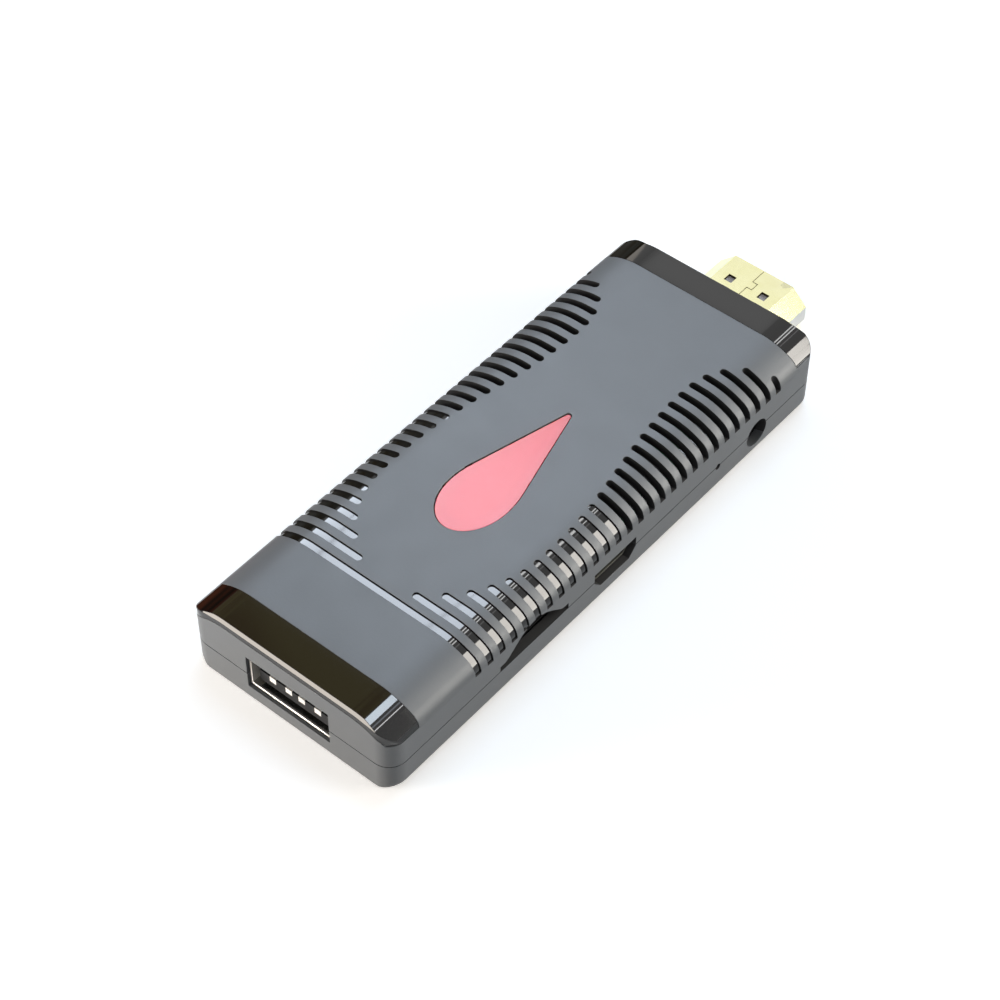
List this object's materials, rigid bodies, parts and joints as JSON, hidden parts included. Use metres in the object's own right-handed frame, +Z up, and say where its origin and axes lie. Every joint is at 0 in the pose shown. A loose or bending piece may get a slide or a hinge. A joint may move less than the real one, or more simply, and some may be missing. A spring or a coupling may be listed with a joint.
{
  "type": "streaming media stick",
  "caption": "Pocket media player stick with a picture plug at one end, a host port at the other, side ports, vented shoulders and a drop inlay.",
  "frame": {"origin": "centre of the housing's underside, the face it rests on", "axes": "+Y along the housing, out of the picture plug; +X out of the side ports; +Z up through the drop"},
  "size_m": [0.0312, 0.0916, 0.0112],
  "materials": {
    "matt_cover": "fine moulded texture",
    "gloss_trim": "polished piano black",
    "drop_enamel": "glossy coral red inlay",
    "plug_gold": "pale gold plated steel",
    "contact_gold": "gold plated contacts",
    "nickel": "nickel plated sheet",
    "port_black": "moulded nylon",
    "board_green": "solder mask",
    "chip_black": "moulded epoxy",
    "sink_metal": "extruded, black anodised",
    "pad_grey": "soft pad",
    "tin_steel": "tinned sheet",
    "screw_steel": "zinc plated",
    "ceramic": "ceramic block",
    "lamp_clear": "clear lens",
    "slider_white": "acetal"
  },
  "bodies": {
    "housing": {"top_cover": "matt_cover", "bottom_cover": "matt_cover", "near_trim": "gloss_trim", "far_trim": "gloss_trim", "drop_inlay": "drop_enamel", "plug_shell": "plug_gold", "plug_insulator": "port_black", "plug_contacts": "contact_gold", "usb_shell": "nickel", "usb_tongue": "port_black", "usb_contacts": "contact_gold", "power_port_shell": "nickel", "power_port_tongue": "port_black", "power_port_contacts": "contact_gold", "card_socket_base": "port_black", "card_socket_cover": "tin_steel", "card_contacts": "contact_gold", "card_spring": "tin_steel", "jack_body": "port_black", "jack_contacts": "contact_gold", "reset_switch_body": "port_black", "reset_switch_cover": "tin_steel", "main_board": "board_green", "board_screws": "screw_steel", "processor": "chip_black", "thermal_pad": "pad_grey", "heat_sink": "sink_metal", "memory_chips": "chip_black", "flash_chip": "chip_black", "wireless_board": "board_green", "wireless_shield": "tin_steel", "antenna": "tin_steel", "clock_crystal": "tin_steel", "power_coils": "ceramic", "board_capacitors": "ceramic", "status_light": "lamp_clear"},
    "card_slider": {"card_slider": "slider_white"},
    "reset_button": {"reset_button": "port_black"}
  },
  "joints": [
    {"name": "reset_press", "type": "slide", "parent": "housing", "child": "reset_button", "axis": [-1, 0, 0], "range_m": [0, 0.00025], "stiffness_N_per_m": 4000},
    {"name": "card_push", "type": "slide", "parent": "housing", "child": "card_slider", "axis": [-1, 0, 0], "range_m": [0, 0.0012], "stiffness_N_per_m": 300, "deforming": ["card_spring"]}
  ]
}
